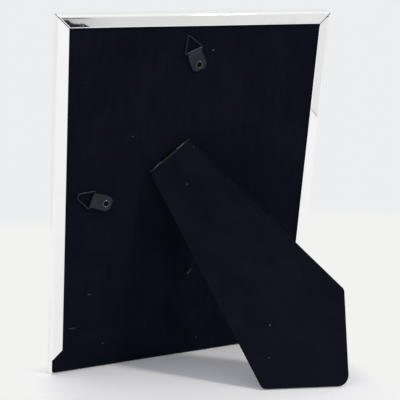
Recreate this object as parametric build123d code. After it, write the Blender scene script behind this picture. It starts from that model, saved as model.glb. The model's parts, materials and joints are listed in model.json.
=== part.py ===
"""Easel back photo frame: a slim plated frame that stands in portrait on the strut of its velvet back."""
import os
from math import asin, atan, cos, degrees, radians, sin, sqrt, tan

from build123d import *

# All lengths are in millimetres and all angles in degrees. The frame is modelled flat: X runs to the
# right as seen from behind, Y runs up the frame, and Z comes out of its back, with zero on the outside
# of the back lips. The finished pieces are then stood up together at the lean that the strut gives.

# Print and the pack in front of it
PRINT_W = 152.4
PRINT_H = 203.2
PRINT_T = 0.25
PRINT_SIDE_PLAY = 1.3
PRINT_END_PLAY = 0.4
GLASS_T = 2.0
CARD_T = 0.7
CARD_CLEAR = 0.15

# Rails, roll-formed from plated sheet
SHEET = 0.8
LIP_W = 6.75
LIP_SINK = 0.15
TOP_LIP_RISE = 0.1
BACK_BEND_R = 1.75
FRONT_BEND_R = 2.0
FACE_W = 9.0
FACE_DROP = 1.2
MITRE_GAP = 0.35
LIP_CUT_RISE = 8.3
BOTTOM_WALL_CLEAR = 0.2

# Corner keys, soldered inside the walls beside the glass
KEY_T = 0.5
KEY_LEG = 12.0
KEY_CLEAR = 0.2

# Back panel: a board wrapped in velvet, lined with paper
PANEL_CLEAR = 0.1
PANEL_SIDE_CLEAR = 0.2
PANEL_CORNER_R = 2.0
PANEL_EDGE_R = 1.0
PANEL_BOARD_T = 1.95
VELVET_T = 0.4
LINING_T = 0.15

# Hinge of the strut
HINGE_X = 64.9
HINGE_Y = 127.9
HINGE_ANGLE = 38.5
HINGE_L = 28.6
HINGE_LIFT = 0.25
BARREL_R = 0.85
PIN_R = 0.45
PIN_CLEAR = 0.05
PIN_PROUD = 0.25
CENTRE_KNUCKLE_L = 11.0
FIXED_KNUCKLE_L = 5.0
KNUCKLE_CLEAR = 0.15
LEAF_T = 0.45
LEAF_W = 25.0
LEAF_REACH = 12.0
LEAF_CLEAR = 0.1
STOP_W = 5.0
STOP_REACH = 1.75
STOP_T = 0.5
STOP_CLEAR = 0.03
RIVET_R = 1.0
RIVET_HEAD_R = 2.0
RIVET_HEAD_T = 0.5
RIVET_CLEAR = 0.05
RIVET_SPREAD = 16.0
RIVET_REACH = 8.0

# Strut: a board between velvet sheets
STRUT_OPEN = 36.5
STRUT_SIDE_INSET = 0.5
STRUT_FOOT_W = 46.6
STRUT_SIDE_L = 51.5
STRUT_BOARD_T = 2.0
STRUT_TOP_CLEAR = 0.25
STRUT_TIP_R = 6.0
STRUT_CORNER_R = 3.5
STRUT_TOP_R = 1.0
STRUT_EDGE_R = 0.3

# Hangers: a folded strap tab on a hollow eyelet, with a wire ring in the fold
TOP_HANGER_INSET = 27.8
SIDE_HANGER_INSET = 29.4
TOP_HANGER_ANGLE = 23.5
SIDE_HANGER_ANGLE = 71.3
TAB_T = 0.5
TAB_W = 8.8
TAB_FOLD_W = 8.3
TAB_END = 3.2
TAB_END_R = 2.9
TAB_LIFT = 0.1
TAB_LAYER_GAP = 0.05
TAB_TAPER = 2.5
TAB_RAMP_ANGLE = 30.0
FOLD_REACH = 8.1
DIMPLE_REACH = 4.3
DIMPLE_W = 2.6
DIMPLE_R = 0.5
DIMPLE_DEPTH = 0.3
WIRE_R = 0.45
WIRE_CLEAR = 0.05
TOP_RING_H = 9.0
TOP_RING_APEX_W = 0.9
SIDE_RING_H = 8.5
SIDE_RING_APEX_W = 2.8
RING_BEND_R = 0.7
RING_SIDE_CLEAR = 0.2
RING_BUTT_GAP = 0.3
RING_REST_GAP = 0.1
EYELET_HOLE_R = 1.35
EYELET_BARREL_R = 1.65
EYELET_FLANGE_R = 2.3
EYELET_FLANGE_T = 0.55
EYELET_ROUND = 0.45
EYELET_CLEAR = 0.1
EYELET_FIT = 0.05
CLINCH_R = 2.5
CLINCH_T = 0.35
WASHER_R = 3.4
WASHER_T = 0.4
WASHER_CLEAR = 0.15
CLINCH_DEPTH = 0.3

# One overrun for all cuts
OVERRUN = 5.0

# Levels through the depth, from the back lips to the front
PANEL_FACE = -(SHEET + LIP_SINK + PANEL_CLEAR)
PANEL_BOARD_TOP = PANEL_FACE - VELVET_T
PANEL_BOARD_FOOT = PANEL_BOARD_TOP - PANEL_BOARD_T
PANEL_BACK = PANEL_BOARD_FOOT - LINING_T
CARD_TOP = PANEL_BACK - CARD_CLEAR
PRINT_TOP = CARD_TOP - CARD_T
GLASS_TOP = PRINT_TOP - PRINT_T
GLASS_FRONT = GLASS_TOP - GLASS_T
FRAME_D = SHEET + FACE_DROP - GLASS_FRONT
BOTTOM_WALL_TOP = PANEL_BACK - BOTTOM_WALL_CLEAR

# Plan sizes
PACK_GAP = KEY_T + KEY_CLEAR
FRAME_W = PRINT_W + 2 * (PRINT_SIDE_PLAY + PACK_GAP + SHEET)
FRAME_H = PRINT_H + 2 * (PRINT_END_PLAY + PACK_GAP + SHEET)
PANEL_LEFT = SHEET + PANEL_SIDE_CLEAR
PANEL_RIGHT = FRAME_W - PANEL_LEFT
PANEL_TOP = FRAME_H - SHEET - PANEL_SIDE_CLEAR

# The strut stands flat on its foot edge at this lean, which follows from the hinge's angle and opening
LEAN = degrees(atan(cos(radians(HINGE_ANGLE)) * tan(radians(STRUT_OPEN / 2))))
RAIL_HEEL = sqrt(BACK_BEND_R**2 - (BACK_BEND_R - SHEET)**2) - BACK_BEND_R
STRUT_FOOT_Y = tan(radians(LEAN)) * (HINGE_LIFT - RAIL_HEEL)
STRUT_T = STRUT_BOARD_T + 2 * VELVET_T
STRUT_TOP_REACH = BARREL_R + STRUT_TOP_CLEAR

HINGE_PLANE = Plane(
    origin=(HINGE_X, HINGE_Y, HINGE_LIFT),
    x_dir=(cos(radians(HINGE_ANGLE)), sin(radians(HINGE_ANGLE)), 0),
    z_dir=(0, 0, 1),
)
HINGE_AXIS = Axis(HINGE_PLANE.origin, HINGE_PLANE.x_dir)
HINGE_AT = HINGE_PLANE.location

TOP_EYELET = (FRAME_W / 2, FRAME_H - TOP_HANGER_INSET)
SIDE_EYELET = (SIDE_HANGER_INSET, PANEL_TOP / 2)
HANGERS = {
    "top": Location((*TOP_EYELET, PANEL_FACE), (0, 0, TOP_HANGER_ANGLE)),
    "side": Location((*SIDE_EYELET, PANEL_FACE), (0, 0, SIDE_HANGER_ANGLE)),
}
LOOP_R = WIRE_R + WIRE_CLEAR
FOLD_LEVEL = TAB_LIFT + TAB_T + LOOP_R
TAB_TOP = TAB_LIFT + 2 * TAB_T + TAB_LAYER_GAP
RINGS = {"top": (TOP_RING_H, TOP_RING_APEX_W), "side": (SIDE_RING_H, SIDE_RING_APEX_W)}


def block(x_range, y_range, z_range):
    """A box between two limits on each axis."""
    corner = Pos(x_range[0], y_range[0], z_range[0])
    size = [high - low for low, high in (x_range, y_range, z_range)]
    return corner * Box(*size, align=Align.MIN)


def post(radius, low, high, place=(0, 0)):
    """A round post along Z between two levels."""
    return Pos(*place, low) * Cylinder(radius, high - low, align=(Align.CENTER, Align.CENTER, Align.MIN))


def slab(outline, low, high):
    """A flat outline made solid between two levels."""
    return Pos(0, 0, low) * extrude(outline, amount=high - low, dir=(0, 0, 1))


def rail_profile(lip_level):
    """The bent sheet across a rail: X runs inward from the outer wall, Z out of the back.

    The lip's inner edge is at a level of its own, and a rail with no such level has no lip.
    """
    face_end = (FACE_W, FACE_DROP - FRAME_D)
    front_corner = (0, -FRAME_D)
    if lip_level is None:
        points = [(0, BOTTOM_WALL_TOP), front_corner, face_end]
        radii = [FRONT_BEND_R]
    else:
        points = [(LIP_W, lip_level), (0, 0), front_corner, face_end]
        radii = [BACK_BEND_R, FRONT_BEND_R]
    outside = FilletPolyline(*points, radius=radii)
    return Plane.XZ * make_face(offset(outside, amount=SHEET, side=Side.LEFT))


def mitre_wedge(low, high):
    """What a corner's mitre takes off the start of a rail, between two levels."""
    half_gap = MITRE_GAP / sqrt(2)
    tip = (-OVERRUN, -OVERRUN + half_gap)
    far = (FACE_W + OVERRUN, FACE_W + OVERRUN + half_gap)
    wedge = make_face(Polyline(tip, far, (far[0], tip[1] - OVERRUN), (tip[0], tip[1] - OVERRUN), close=True))
    return slab(wedge, low, high)


def rail(length, lip_level, start_high):
    """A rail along Y, mitred at both ends; its start is mitred only up to a level."""
    bar = extrude(rail_profile(lip_level), amount=length, dir=(0, 1, 0))
    start = mitre_wedge(-FRAME_D - OVERRUN, start_high)
    end = mirror(mitre_wedge(-FRAME_D - OVERRUN, OVERRUN), about=Plane.XZ)
    return bar - start - Pos(0, length, 0) * end


def side_rail():
    """The left rail: square at its foot behind the bottom rail, with the lip cut back at 45 degrees."""
    bar = rail(FRAME_H, -LIP_SINK, BOTTOM_WALL_TOP + BOTTOM_WALL_CLEAR / 2)
    far = LIP_W + OVERRUN
    cut = Polyline(
        (SHEET, -OVERRUN),
        (far, -OVERRUN),
        (far, far + LIP_CUT_RISE),
        (SHEET, SHEET + LIP_CUT_RISE),
        close=True,
    )
    return bar - slab(make_face(cut), -BACK_BEND_R, OVERRUN)


def corner_keys():
    """Four angle strips that join the rails' walls, each in its own corner."""
    inner_x = (SHEET, FRAME_W - SHEET)
    inner_y = (SHEET, FRAME_H - SHEET)
    levels = (KEY_CLEAR + FRONT_BEND_R - FRAME_D, BOTTOM_WALL_TOP - KEY_CLEAR)
    keys = {}
    for side, wall_x, into_x in (("left", inner_x[0], 1), ("right", inner_x[1], -1)):
        for end, wall_y, into_y in (("bottom", inner_y[0], 1), ("top", inner_y[1], -1)):
            leg_x = sorted((wall_x, wall_x + into_x * KEY_LEG))
            leg_y = sorted((wall_y, wall_y + into_y * KEY_LEG))
            thin_x = sorted((wall_x, wall_x + into_x * KEY_T))
            thin_y = sorted((wall_y, wall_y + into_y * KEY_T))
            keys[f"corner_key_{end}_{side}"] = block(leg_x, thin_y, levels) + block(thin_x, leg_y, levels)
    return keys


def pack_sheet(width, height, low, high):
    """A flat sheet of the pack, centred in the frame."""
    left = (FRAME_W - width) / 2
    foot = (FRAME_H - height) / 2
    return block((left, left + width), (foot, foot + height), (low, high))


def frame_pieces():
    """The rails, the keys that join them, and the pack between face and back."""
    left = side_rail()
    top = rail(FRAME_W, TOP_LIP_RISE, OVERRUN)
    bottom = rail(FRAME_W, None, OVERRUN)
    pane_w = FRAME_W - 2 * (SHEET + PACK_GAP)
    pane_h = FRAME_H - 2 * (SHEET + PACK_GAP)
    return {
        "left_rail": left,
        "right_rail": mirror(left, about=Plane.YZ.offset(FRAME_W / 2)),
        "top_rail": Pos(0, FRAME_H, 0) * Rot(0, 0, -90) * top,
        "bottom_rail": Pos(FRAME_W, 0, 0) * Rot(0, 0, 90) * bottom,
        **corner_keys(),
        "glass_pane": pack_sheet(pane_w, pane_h, GLASS_FRONT, GLASS_TOP),
        "photo_insert": pack_sheet(PRINT_W, PRINT_H, GLASS_TOP, PRINT_TOP),
        "backing_card": pack_sheet(pane_w, pane_h, PRINT_TOP, CARD_TOP),
    }


def wrapped(outline, low, high, edge_radius):
    """A board with its outer edge rounded over."""
    solid = slab(outline, low, high)
    return fillet(solid.faces().sort_by(Axis.Z)[-1].edges(), edge_radius)


def rivet_places(side):
    """The rivets of one leaf, in the hinge's plane; side is 1 above the hinge and -1 below it."""
    return [(end * RIVET_SPREAD / 2, side * RIVET_REACH) for end in (-1, 1)]


def knuckle(centre, length):
    """One knuckle along the hinge, bored for the pin."""
    barrel = Cylinder(BARREL_R, length) - Cylinder(PIN_R + PIN_CLEAR, length + OVERRUN)
    return Pos(centre, 0, 0) * Rot(0, 90, 0) * barrel


def fixed_knuckles():
    """Centre and length of the two knuckles of the panel's leaf."""
    centre = CENTRE_KNUCKLE_L / 2 + KNUCKLE_CLEAR + FIXED_KNUCKLE_L / 2
    return [(-centre, FIXED_KNUCKLE_L), (centre, FIXED_KNUCKLE_L)]


def strut_knuckles():
    """Centre and length of the three knuckles of the strut's leaf."""
    inner = CENTRE_KNUCKLE_L / 2 + FIXED_KNUCKLE_L + 2 * KNUCKLE_CLEAR
    end_length = HINGE_L / 2 - inner
    end_centre = inner + end_length / 2
    return [(-end_centre, end_length), (0, CENTRE_KNUCKLE_L), (end_centre, end_length)]


def span(centre, length, play=0):
    """The two ends of a stretch along the hinge, with play at each."""
    return (centre - length / 2 - play, centre + length / 2 + play)


def panel_leaf_parts(play=0):
    """The flat plate, webs and stop of the panel's leaf, in the hinge's plane, grown by a play."""
    plate_top = PANEL_BOARD_TOP - HINGE_LIFT
    plate_foot = plate_top - LEAF_T
    web_y = (BARREL_R - LEAF_T - play, BARREL_R + play)
    plate_y = (web_y[0], web_y[1] + LEAF_REACH)
    plate = block(span(0, LEAF_W, play), plate_y, (plate_foot - play / 2, plate_top))
    webs = [block(span(*fixed, play), web_y, (plate_foot, 0)) for fixed in fixed_knuckles()]
    stop_y = (STOP_REACH - LEAF_T - play, STOP_REACH + play)
    stop = block(span(0, STOP_W, play), stop_y, (plate_foot, -STOP_T / 2 - STOP_CLEAR))
    return plate, webs, stop


def panel_hinge_leaf():
    """The leaf riveted to the panel board, with two knuckles and the wall that stops the strut."""
    plate, webs, stop = panel_leaf_parts()
    bore = Rot(0, 90, 0) * Cylinder(PIN_R + PIN_CLEAR, HINGE_L + OVERRUN)
    leaf = plate + stop
    for web, fixed in zip(webs, fixed_knuckles()):
        leaf = leaf + web - bore + knuckle(*fixed)
    for place in rivet_places(1):
        leaf = leaf - post(RIVET_R + RIVET_CLEAR, PANEL_BACK - OVERRUN, OVERRUN, place)
    return HINGE_AT * leaf


def rivets(side, leaf_level, head_level):
    """The rivets of one leaf: flush in the leaf, with a flat head on the far side of the board."""
    toward = 1 if head_level > leaf_level else -1
    neck = head_level - toward * RIVET_HEAD_T
    pieces = []
    for place in rivet_places(side):
        shank = post(RIVET_R, *sorted((leaf_level, neck)), place)
        pieces.append(HINGE_AT * (shank + post(RIVET_HEAD_R, *sorted((neck, head_level)), place)))
    return pieces


def rivet_cut(side, head_level, toward):
    """The holes and head pockets that the rivets of one leaf need in their board."""
    cut = Part()
    neck = head_level - toward * RIVET_HEAD_T
    pocket = sorted((neck, head_level + toward * OVERRUN))
    for place in rivet_places(side):
        cut = cut + post(RIVET_R + RIVET_CLEAR, -OVERRUN, OVERRUN, place)
        cut = cut + post(RIVET_HEAD_R + RIVET_CLEAR, *pocket, place)
    return HINGE_AT * cut


def eyelet_levels():
    """Top of the flange, and the washer's and clinch's levels, measured from the panel's velvet."""
    flange_foot = TAB_TOP + EYELET_FIT
    clinch_foot = PANEL_BACK + CLINCH_DEPTH - PANEL_FACE
    clinch_top = clinch_foot + CLINCH_T
    return flange_foot, clinch_foot, clinch_top, clinch_top + WASHER_T


def eyelet():
    """A hollow eyelet: flange over the tab, barrel through the panel, clinched over a washer."""
    flange_foot, clinch_foot, clinch_top, _ = eyelet_levels()
    top = flange_foot + EYELET_FLANGE_T
    flange = post(EYELET_FLANGE_R, flange_foot, top)
    flange = fillet(flange.edges().sort_by(Axis.Z)[-1], EYELET_ROUND)
    barrel = post(EYELET_BARREL_R, clinch_foot, flange_foot)
    solid = flange + barrel + post(CLINCH_R, clinch_foot, clinch_top)
    solid = solid - post(EYELET_HOLE_R, clinch_foot - OVERRUN, top + OVERRUN)
    mouth = solid.edges().filter_by(GeomType.CIRCLE).group_by(Axis.Z)[-1].sort_by(SortBy.RADIUS)[0]
    return fillet(mouth, EYELET_ROUND)


def eyelet_washer():
    """The washer under an eyelet's clinch."""
    _, _, low, high = eyelet_levels()
    return post(WASHER_R, low, high) - post(EYELET_BARREL_R + EYELET_FIT, low - OVERRUN, high + OVERRUN)


def eyelet_cut():
    """The hole for an eyelet's barrel, and the pocket for its washer."""
    _, _, _, washer_top = eyelet_levels()
    pocket = post(WASHER_R + WASHER_CLEAR, PANEL_BACK - PANEL_FACE - OVERRUN, washer_top)
    return pocket + post(EYELET_BARREL_R + EYELET_FIT, washer_top, OVERRUN)


def panel_outline(inset):
    """The back panel in plan, drawn in by an inset."""
    left, right = PANEL_LEFT + inset, PANEL_RIGHT - inset
    foot, top = inset, PANEL_TOP - inset
    corners = [(left, foot), (right, foot), (right, top), (left, top)]
    return make_face(FilletPolyline(*corners, radius=PANEL_CORNER_R - inset, close=True))


def panel_pieces():
    """The sliding back: velvet, board, lining, hinge leaf and pin, rivets, eyelets and washers."""
    board_outline = panel_outline(VELVET_T)
    board = wrapped(board_outline, PANEL_BOARD_FOOT, PANEL_BOARD_TOP, PANEL_EDGE_R - VELVET_T)
    lining = slab(board_outline, PANEL_BACK, PANEL_BOARD_FOOT)
    velvet = wrapped(panel_outline(0), PANEL_BACK, PANEL_FACE, PANEL_EDGE_R) - board - lining
    plate, webs, stop = panel_leaf_parts(LEAF_CLEAR)
    board = board - HINGE_AT * plate
    for upright in (*webs, stop):
        velvet = velvet - HINGE_AT * upright
    board = board - rivet_cut(1, PANEL_BOARD_FOOT - HINGE_LIFT, -1)
    for place in HANGERS.values():
        cut = place * eyelet_cut()
        velvet, board, lining = velvet - cut, board - cut, lining - cut
    pin = Rot(0, 90, 0) * Cylinder(PIN_R, HINGE_L + 2 * PIN_PROUD)
    leaf_rivets = rivets(1, PANEL_BOARD_TOP - HINGE_LIFT, PANEL_BOARD_FOOT - HINGE_LIFT)
    pieces = {
        "panel_velvet": velvet,
        "panel_board": board,
        "panel_lining": lining,
        "panel_hinge_leaf": panel_hinge_leaf(),
        "hinge_pin": HINGE_AT * pin,
        "panel_leaf_rivets": Compound(leaf_rivets),
    }
    for name, place in HANGERS.items():
        pieces[f"{name}_eyelet"] = place * eyelet()
        pieces[f"{name}_eyelet_washer"] = place * eyelet_washer()
    return pieces


def strut_outline():
    """The folded strut in plan: its edges lie along the frame's side and foot."""
    half = HINGE_L / 2
    left = tuple(HINGE_PLANE.from_local_coords((-half, -STRUT_TOP_REACH, 0)))[:2]
    right = tuple(HINGE_PLANE.from_local_coords((half, -STRUT_TOP_REACH, 0)))[:2]
    side = FRAME_W - STRUT_SIDE_INSET
    corner = (side, STRUT_FOOT_Y + STRUT_SIDE_L)
    tip = (side, STRUT_FOOT_Y)
    heel = (side - STRUT_FOOT_W, STRUT_FOOT_Y)
    radii = [STRUT_TOP_R, STRUT_TOP_R, STRUT_CORNER_R, STRUT_TIP_R, STRUT_CORNER_R]
    return make_face(FilletPolyline(left, right, corner, tip, heel, radius=radii, close=True))


def opened(solid):
    """A strut piece turned from folded flat to its stop."""
    return solid.rotate(HINGE_AXIS, -STRUT_OPEN)


def strut_leaf_plate(play=0):
    """The flat plate of the strut's leaf, in the hinge's plane, grown by a play."""
    near = -(BARREL_R + KNUCKLE_CLEAR) + play
    return block(span(0, LEAF_W, play), (near - LEAF_REACH - play, near), (VELVET_T, BARREL_R + play / 2))


def strut_hinge_leaf():
    """The leaf let into the strut board: three knuckles, and the nose that meets the panel leaf's stop."""
    leaf = strut_leaf_plate()
    near = -(BARREL_R + KNUCKLE_CLEAR)
    bore = Rot(0, 90, 0) * Cylinder(PIN_R + PIN_CLEAR, HINGE_L + OVERRUN)
    half_leaf = LEAF_W / 2
    for centre, length in strut_knuckles():
        low, high = span(centre, length)
        tongue = block((max(low, -half_leaf), min(high, half_leaf)), (near, 0), (VELVET_T, BARREL_R))
        leaf = leaf + (tongue - bore) + knuckle(centre, length)
    for place in rivet_places(-1):
        leaf = leaf - post(RIVET_R + RIVET_CLEAR, -OVERRUN, OVERRUN, place)
    nose = block(span(0, STOP_W), (0, STOP_REACH), (-STOP_T / 2, STOP_T / 2)) - bore
    return opened(HINGE_AT * leaf) + HINGE_AT * nose


def strut_pieces():
    """The strut, opened to its stop: board, velvet sheets, hinge leaf and its rivets."""
    outline = strut_outline()
    inner_outline = offset(outline, amount=-VELVET_T)
    foot = HINGE_LIFT
    board_foot = foot + VELVET_T
    board_top = board_foot + STRUT_BOARD_T
    board = slab(inner_outline, board_foot, board_top)
    inner_sheet = slab(inner_outline, foot, board_foot)
    cover = wrapped(outline, foot, foot + STRUT_T, STRUT_EDGE_R) - board - inner_sheet
    recess = HINGE_AT * strut_leaf_plate(LEAF_CLEAR)
    board = board - recess - rivet_cut(-1, board_top - HINGE_LIFT, 1)
    cover = cover - recess
    return {
        "strut_velvet_outer": opened(cover),
        "strut_board": opened(board),
        "strut_velvet_inner": opened(inner_sheet),
        "strut_hinge_leaf": strut_hinge_leaf(),
        "strut_leaf_rivets": Compound([opened(one) for one in rivets(-1, VELVET_T, board_top - HINGE_LIFT)]),
    }


def tab_profile():
    """The strap along a hanger: two layers from the eyelet's end, folded round the ring's wire."""
    loop_outer = LOOP_R + TAB_T
    slope = radians(TAB_RAMP_ANGLE)
    layer_foot = TAB_TOP - TAB_T
    inner = (FOLD_REACH - LOOP_R * sin(slope), FOLD_LEVEL + LOOP_R * cos(slope))
    outer = (FOLD_REACH - loop_outer * sin(slope), FOLD_LEVEL + loop_outer * cos(slope))
    lower = Polyline(
        (-TAB_END, TAB_LIFT),
        (FOLD_REACH, TAB_LIFT),
        (FOLD_REACH, TAB_LIFT + TAB_T),
        (-TAB_END, TAB_LIFT + TAB_T),
        close=True,
    )
    upper = Polyline(
        (-TAB_END, layer_foot),
        (inner[0] - (inner[1] - layer_foot) / tan(slope), layer_foot),
        inner,
        outer,
        (outer[0] - (outer[1] - TAB_TOP) / tan(slope), TAB_TOP),
        (-TAB_END, TAB_TOP),
        close=True,
    )
    half = Rectangle(OVERRUN, 2 * OVERRUN, align=(Align.MIN, Align.CENTER))
    bend = (Circle(loop_outer) - Circle(LOOP_R)) & (half + Rot(0, 0, TAB_RAMP_ANGLE) * half)
    return Plane.YZ * (make_face(lower) + make_face(upper) + Pos(FOLD_REACH, FOLD_LEVEL) * bend)


def hanger_tab():
    """A hanger's strap, pointing along Y from its eyelet, with a rounded end and a pressed dimple."""
    half, fold_half = TAB_W / 2, TAB_FOLD_W / 2
    loop_outer = LOOP_R + TAB_T
    taper_end = FOLD_REACH - loop_outer
    plan = FilletPolyline(
        (-half, -TAB_END),
        (half, -TAB_END),
        (half, taper_end - TAB_TAPER),
        (fold_half, taper_end),
        (fold_half, FOLD_REACH + loop_outer),
        (-fold_half, FOLD_REACH + loop_outer),
        (-fold_half, taper_end),
        (-half, taper_end - TAB_TAPER),
        radius=[TAB_END_R, TAB_END_R, 0, 0, 0, 0, 0, 0],
        close=True,
    )
    strap = extrude(tab_profile(), amount=half, both=True)
    strap = strap & slab(make_face(plan), -OVERRUN, OVERRUN)
    strap = strap - post(EYELET_BARREL_R + EYELET_CLEAR, -OVERRUN, OVERRUN)
    dimple = slab(SlotOverall(DIMPLE_W, 2 * DIMPLE_R), TAB_TOP - DIMPLE_DEPTH, OVERRUN)
    return strap - Pos(0, DIMPLE_REACH, 0) * dimple


def ring_corner(height, apex_width):
    """Half a ring's base, out to the point that its corner's bend rounds off.

    The wire stays straight until it is out of the fold, and the bend then turns it towards the apex.
    """
    straight = TAB_FOLD_W / 2 + RING_SIDE_CLEAR
    drawn_in = straight - apex_width / 2
    half_angle_tan = (sqrt(drawn_in**2 + height * (height - 2 * RING_BEND_R)) - drawn_in) / height
    return straight + RING_BEND_R / half_angle_tan


def hanger_ring(height, apex_width):
    """A triangular wire ring in a tab's fold; its ends meet inside the fold, and its tip rests low."""
    corner = ring_corner(height, apex_width)
    gap = RING_BUTT_GAP / 2
    apex = apex_width / 2
    tilt = degrees(asin((FOLD_LEVEL - WIRE_R - RING_REST_GAP) / height))
    path = FilletPolyline(
        (gap, 0, 0),
        (corner, 0, 0),
        (apex, height, 0),
        (-apex, height, 0),
        (-corner, 0, 0),
        (-gap, 0, 0),
        radius=RING_BEND_R,
    )
    section = Plane(path @ 0, z_dir=path % 0) * Circle(WIRE_R)
    ring = sweep(section, path=path)
    return Pos(0, FOLD_REACH, FOLD_LEVEL) * Rot(-tilt, 0, 0) * ring


def hanger_pieces():
    """Both hangers' tabs and rings."""
    pieces = {}
    for name, place in HANGERS.items():
        pieces[f"{name}_hanger_tab"] = place * hanger_tab()
        pieces[f"{name}_hanger_ring"] = place * hanger_ring(*RINGS[name])
    return pieces


def standing_place(solids):
    """Where the flat frame goes: leaning back, picture to -Y, on the floor at the centre of its box."""
    tilt = radians(LEAN)
    upright = Plane(origin=(FRAME_W / 2, 0, 0), x_dir=(-1, 0, 0), z_dir=(0, cos(tilt), -sin(tilt))).location
    box = (upright * Compound(list(solids))).bounding_box()
    return Pos(0, -box.center().Y, -box.min.Z) * upright


PIECES = {**frame_pieces(), **panel_pieces(), **strut_pieces(), **hanger_pieces()}
STANDING = standing_place(PIECES.values())

os.makedirs("parts", exist_ok=True)
for node, solid in PIECES.items():
    export_step(STANDING * solid, f"parts/{node}.step")
print(f"{len(PIECES)} pieces, {FRAME_W:.1f} x {FRAME_H:.1f} x {FRAME_D:.2f} mm, lean {LEAN:.2f} degrees")
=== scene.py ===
"""An easel back photo frame: polished rails, velvet back and strut, hangers, pack and a pale stage."""

import json
from math import ceil, radians

import bmesh
import bpy
from bpy.props import FloatProperty, FloatVectorProperty, PointerProperty
from bpy.types import NodeSocket, Operator, Panel, PropertyGroup
from mathutils import Matrix, Vector, noise
from mathutils.geometry import interpolate_bezier

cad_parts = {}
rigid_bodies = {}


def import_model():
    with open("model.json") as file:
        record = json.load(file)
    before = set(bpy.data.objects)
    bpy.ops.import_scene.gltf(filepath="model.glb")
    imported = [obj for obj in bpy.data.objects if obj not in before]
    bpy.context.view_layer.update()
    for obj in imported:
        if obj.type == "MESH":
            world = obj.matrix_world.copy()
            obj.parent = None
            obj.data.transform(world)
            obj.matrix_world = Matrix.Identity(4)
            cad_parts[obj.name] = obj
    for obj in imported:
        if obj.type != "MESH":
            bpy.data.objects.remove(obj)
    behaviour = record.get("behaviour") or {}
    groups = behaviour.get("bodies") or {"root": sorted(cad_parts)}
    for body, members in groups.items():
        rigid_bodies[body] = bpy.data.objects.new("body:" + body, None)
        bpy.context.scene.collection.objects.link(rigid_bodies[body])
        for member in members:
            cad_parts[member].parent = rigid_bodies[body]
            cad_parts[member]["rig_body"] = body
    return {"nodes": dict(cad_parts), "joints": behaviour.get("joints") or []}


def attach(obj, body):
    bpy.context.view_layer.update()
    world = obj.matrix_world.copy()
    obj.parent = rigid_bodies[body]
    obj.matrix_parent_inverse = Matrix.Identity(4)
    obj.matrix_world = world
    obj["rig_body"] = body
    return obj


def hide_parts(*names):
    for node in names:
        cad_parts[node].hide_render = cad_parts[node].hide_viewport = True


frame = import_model()

bl_info = {
    "name": "Easel back photo frame",
    "version": (1, 0, 0),
    "blender": (4, 5, 0),
    "location": "3D View > Sidebar > Photo frame",
    "description": "Finishes, velvet covers, lint and stage for an easel back photo frame",
    "category": "Object",
}

NODES = frame["nodes"]
JOINTS = {joint["name"]: joint for joint in frame["joints"]}
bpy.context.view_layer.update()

# Directions on the leaning back: to the right as seen from behind, up the panel, and out of the back.
UP = -Vector(JOINTS["panel_slide"]["axis"])
ACROSS = Vector((-1, 0, 0))
OUT = ACROSS.cross(UP)
BACK_TURN = Matrix((ACROSS, UP, OUT)).transposed()
FRONT_TURN = Matrix((-ACROSS, UP, -OUT)).transposed()

# Directions on the open strut: along its hinge, up it, and out of its outer face.
HINGE_AT = Vector(JOINTS["strut_fold"]["pos_m"])
HINGE_LINE = Vector(JOINTS["strut_fold"]["axis"])
STRUT_OPENING = radians(JOINTS["strut_fold"]["range_deg"][1])
STRUT_OUT = Matrix.Rotation(-STRUT_OPENING, 3, HINGE_LINE) @ OUT
STRUT_TURN = Matrix((HINGE_LINE, STRUT_OUT.cross(HINGE_LINE), STRUT_OUT)).transposed()

MM = 0.001
BLACK = (0, 0, 0, 1)
WHITE = (1, 1, 1, 1)
STARTUP_OBJECTS = ("Cube", "Light", "Camera")

# Joining, smoothing and easing of the meshes
WELD = 0.002 * MM
FLAT_ANGLE = radians(0.2)
SMOOTH_ANGLE = radians(32)
SHARP_ANGLE = radians(40)
EASE_STEPS = 3
WIDE_SHARE = 0.5

# A sheet's open face: how near to its level a point counts as on it, the lengths of its long and short
# ripples, the strength of the short ones, and how far the face sinks and swells, as shares of the ripple
OPEN_FACE = 0.05 * MM
LONG_RIPPLE = 22 * MM
SHORT_RIPPLE = 7 * MM
SHORT_SHARE = 0.6
SINK_SHARE = 0.5
SWELL_SHARE = 0.3

# Each rail, and the ways in which cut edges of its back lip face; the bottom rail has no lip.
RAILS = {
    "left_rail": (ACROSS,),
    "right_rail": (-ACROSS,),
    "top_rail": (-UP, (-ACROSS - UP).normalized(), (ACROSS - UP).normalized()),
    "bottom_rail": (),
}
LIP_DEPTH = 0.5 * MM
CORNER_KEYS = tuple(f"corner_key_{end}_{side}" for end in ("bottom", "top") for side in ("left", "right"))
HANGER_SIDES = ("top", "side")
HANGER_ROUGHNESS = 0.28
EYELET_ROUGHNESS = 0.13
BACK_PATCHES = 24.0
STRUT_PATCHES = 30.0

# Papers and boards: depth of shade, scale of the fibres and of the flecks, roughness, and share of flecks
PAPERS = {
    "Insert paper": (0.06, 2200.0, 700.0, 0.62, 0.06),
    "Backing card": (0.3, 1100.0, 420.0, 0.92, 0.5),
    "Back board": (0.35, 700.0, 300.0, 0.85, 0.5),
    "Strut board": (0.35, 700.0, 300.0, 0.85, 0.5),
    "Lining paper": (0.3, 1800.0, 500.0, 0.7, 0.3),
}

# Lint on the panel: millimetres from its left and foot edges, and the size of each speck.
PANEL_SPECKS = (
    (86.3, 186.7, 0.42),
    (42.6, 140.2, 0.28),
    (20.4, 48.0, 0.45),
    (29.8, 15.2, 0.36),
    (88.7, 9.8, 0.38),
    (134.0, 102.0, 0.22),
    (21.6, 47.6, 0.24),
    (56.0, 118.5, 0.16),
    (112.5, 158.0, 0.15),
    (146.2, 131.0, 0.14),
    (15.5, 171.5, 0.15),
)
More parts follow.
